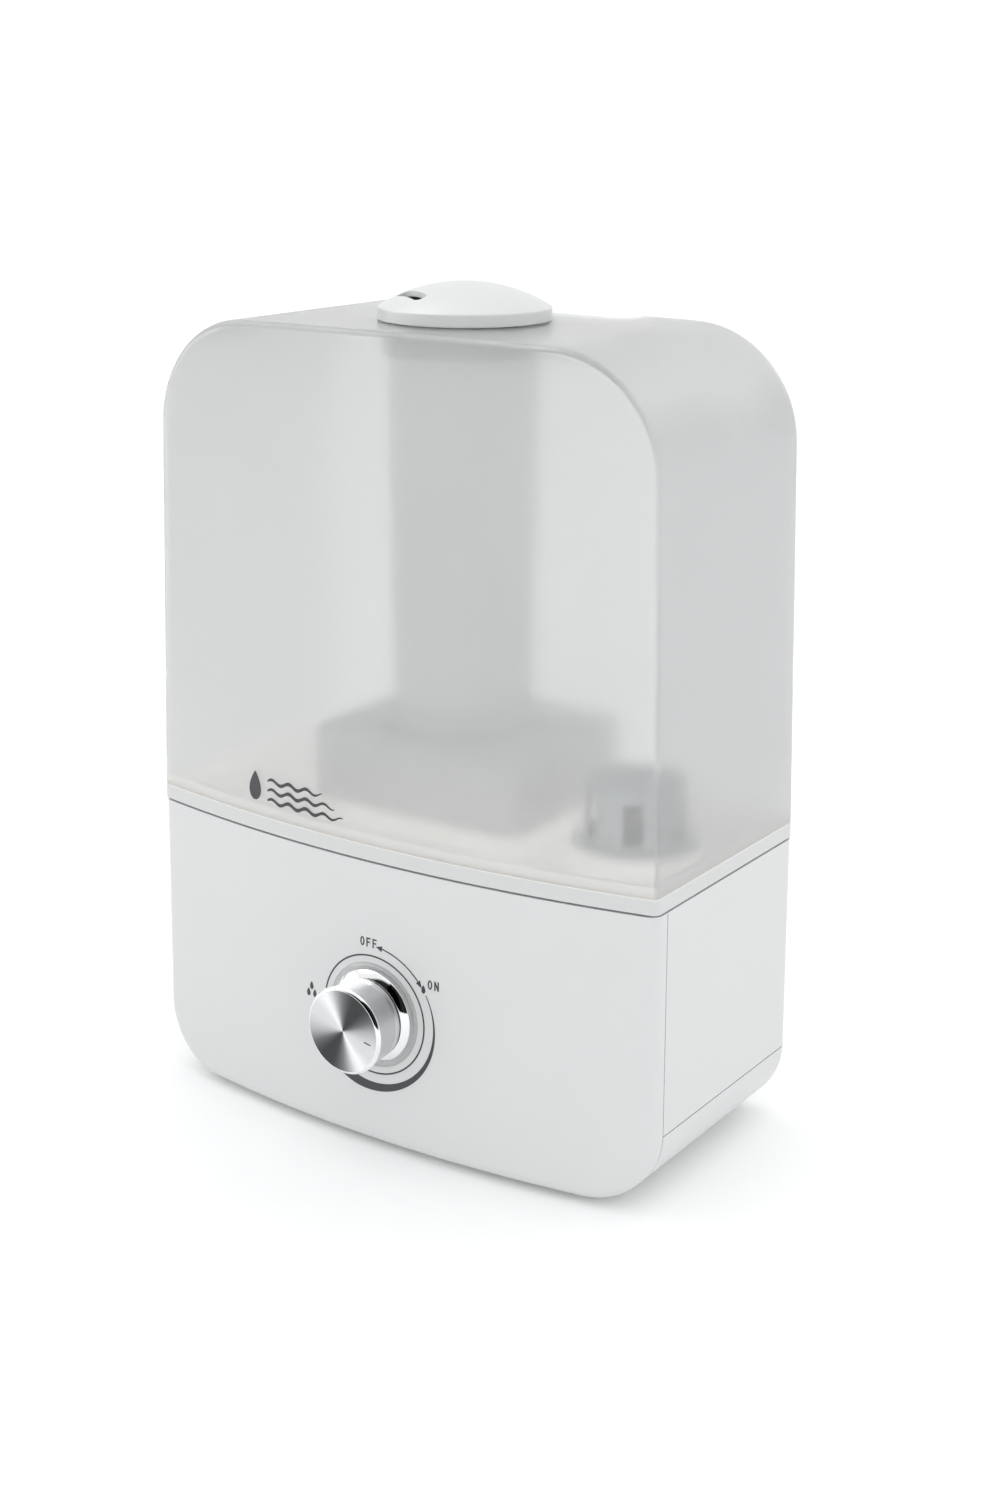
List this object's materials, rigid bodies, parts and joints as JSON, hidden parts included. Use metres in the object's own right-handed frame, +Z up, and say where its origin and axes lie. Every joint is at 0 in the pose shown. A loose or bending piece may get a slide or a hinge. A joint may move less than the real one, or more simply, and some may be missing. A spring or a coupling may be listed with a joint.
{
  "type": "cool mist humidifier",
  "caption": "Ultrasonic cool mist humidifier with a lift-off translucent water tank, rotating mist nozzle, and a white base with an output dial.",
  "frame": {"origin": "bottom centre of the whole object, knob included, on the surface it stands on", "axes": "+Z up, the bowed front with the dial towards -Y, +X to the right as seen from the front"},
  "size_m": [0.22, 0.1308, 0.3121],
  "materials": {
    "shell_white": "satin moulded ABS",
    "tank_frosted": "frosted translucent polypropylene",
    "inner_white": "moulded plastic",
    "natural_plastic": "pale moulded plastic",
    "dark_plastic": "moulded",
    "spun_aluminium": "spun and clear coated",
    "chrome_trim": "bright plated",
    "steel": "zinc plated",
    "sink_metal": "bare",
    "disc_metal": "nickel plated",
    "board": "solder mask",
    "coil": "taped winding",
    "seal_rubber": "silicone",
    "foot_rubber": "matt",
    "foam": "open cell foam",
    "magnet": "sintered ferrite"
  },
  "bodies": {
    "base": {"front_panel": "shell_white", "rear_housing": "shell_white", "bottom_cover": "shell_white", "rubber_feet": "foot_rubber", "case_screws": "steel", "intake_grille": "shell_white", "intake_filter": "foam", "water_basin": "inner_white", "air_chimney": "inner_white", "transducer_disc": "disc_metal", "transducer_seal": "seal_rubber", "transducer_clamp": "sink_metal", "float_clip": "natural_plastic", "level_switch": "dark_plastic", "fan_frame": "dark_plastic", "fan_motor": "steel", "air_duct": "natural_plastic", "power_board": "board", "power_transformer": "coil", "driver_board": "board", "driver_heatsink": "sink_metal", "cord_gland": "dark_plastic", "dial_potentiometer": "dark_plastic", "control_board": "board", "dial_trim_ring": "chrome_trim"},
    "fan": {"fan_rotor": "dark_plastic"},
    "float": {"level_float": "natural_plastic", "float_magnet": "magnet"},
    "dial": {"dial_shaft": "steel", "knob_shell": "spun_aluminium", "knob_core": "dark_plastic"},
    "tank": {"tank_shell": "tank_frosted", "tank_base_plate": "inner_white", "mist_duct": "tank_frosted"},
    "fill_gasket": {"fill_gasket": "seal_rubber"},
    "fill_cap": {"fill_cap": "natural_plastic", "valve_spring": "steel"},
    "valve": {"valve_plunger": "natural_plastic", "valve_seal": "seal_rubber"},
    "nozzle_sleeve": {"nozzle_sleeve": "inner_white"},
    "nozzle_cap": {"nozzle_cap": "shell_white"}
  },
  "joints": [
    {"name": "tank_lift", "type": "slide", "parent": "base", "child": "tank", "axis": [0, 0, 1], "range_m": [0, 0.09]},
    {"name": "nozzle_lift", "type": "slide", "parent": "tank", "child": "nozzle_sleeve", "axis": [0, 0, 1], "range_m": [0, 0.03]},
    {"name": "nozzle_turn", "type": "hinge", "parent": "nozzle_sleeve", "child": "nozzle_cap", "pos_m": [0, 0.0089, 0.2982], "axis": [0, 0, 1], "continuous": true},
    {"name": "fill_cap_travel", "type": "slide", "parent": "tank", "child": "fill_gasket", "axis": [0, 0, -1], "range_m": [0, 0.0017]},
    {"name": "fill_cap_turn", "type": "hinge", "parent": "fill_gasket", "child": "fill_cap", "pos_m": [0.08, -0.0011, 0.11], "axis": [0, 0, -1], "range_deg": [0, 360]},
    {"name": "valve_lift", "type": "slide", "parent": "fill_cap", "child": "valve", "axis": [0, 0, 1], "range_m": [0, 0.004], "stiffness_N_per_m": 120, "springref_m": -0.006, "deforming": ["valve_spring"]},
    {"name": "float_rise", "type": "slide", "parent": "base", "child": "float", "axis": [0, 0, 1], "range_m": [0, 0.006]},
    {"name": "fan_spin", "type": "hinge", "parent": "base", "child": "fan", "pos_m": [0.034, 0.0149, 0.047], "axis": [0, 0, 1], "continuous": true},
    {"name": "dial_turn", "type": "hinge", "parent": "base", "child": "dial", "pos_m": [0, -0.05, 0.0522], "axis": [0, 1, 0], "range_deg": [-100, 174]}
  ],
  "couplings": [
    {"joint": "fill_cap_travel", "follows": "fill_cap_turn", "m_per_rad": 0.00027056}
  ]
}
